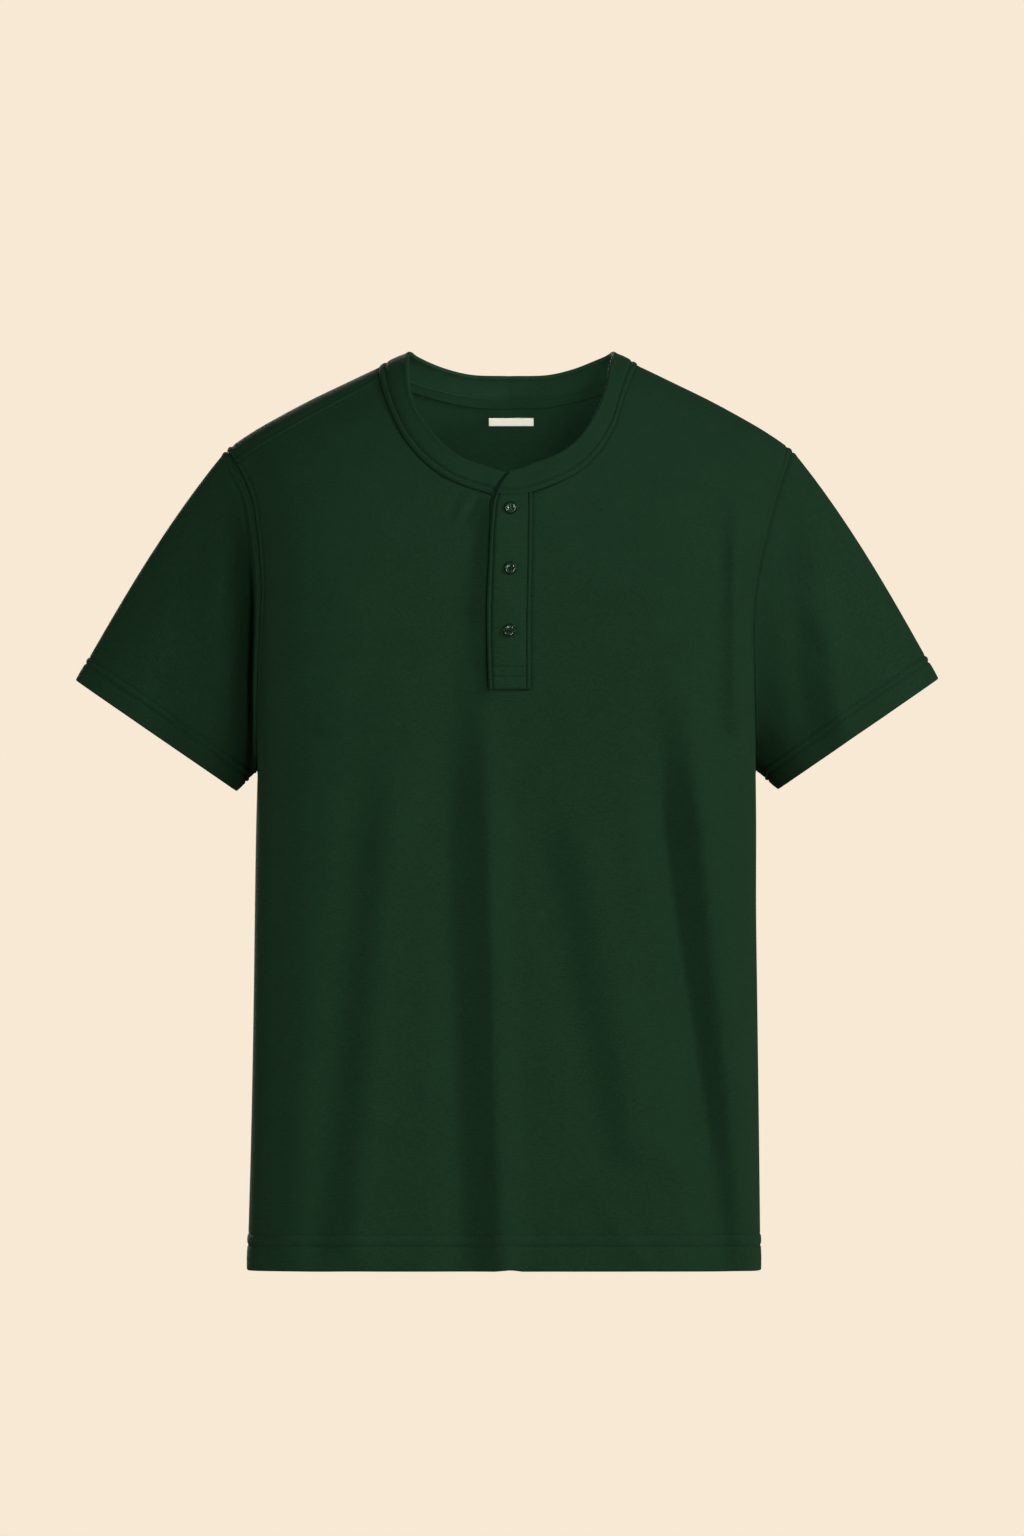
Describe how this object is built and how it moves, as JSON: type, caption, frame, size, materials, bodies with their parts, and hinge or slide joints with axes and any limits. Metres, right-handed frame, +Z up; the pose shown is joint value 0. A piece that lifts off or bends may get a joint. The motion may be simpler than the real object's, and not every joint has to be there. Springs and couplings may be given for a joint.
{
  "type": "short-sleeved henley shirt",
  "caption": "Short-sleeved knit shirt with a low neckband and a short buttoned placket, filled out as if worn, open at neck, hem and cuffs.",
  "frame": {"origin": "middle of the neck opening, level with the highest points of the shoulders, where the wearer's neck and shoulders hold the shirt up", "axes": "+Z up, the front of the shirt faces -Y, +X is to the right as seen from the front"},
  "size_m": [0.6681, 0.245, 0.7118],
  "materials": {
    "jersey": "matte",
    "neckband": "matte",
    "placket": "matte",
    "tape": "matte",
    "label": "matte",
    "button": "glossy"
  },
  "bodies": {
    "root": {"front": "jersey", "back": "jersey", "sleeve_left": "jersey", "sleeve_right": "jersey", "neckband": "neckband", "placket_upper": "placket", "placket_lower": "placket", "neck_tape": "tape", "neck_label": "label", "button_1": "button", "button_2": "button", "button_3": "button"}
  },
  "joints": []
}
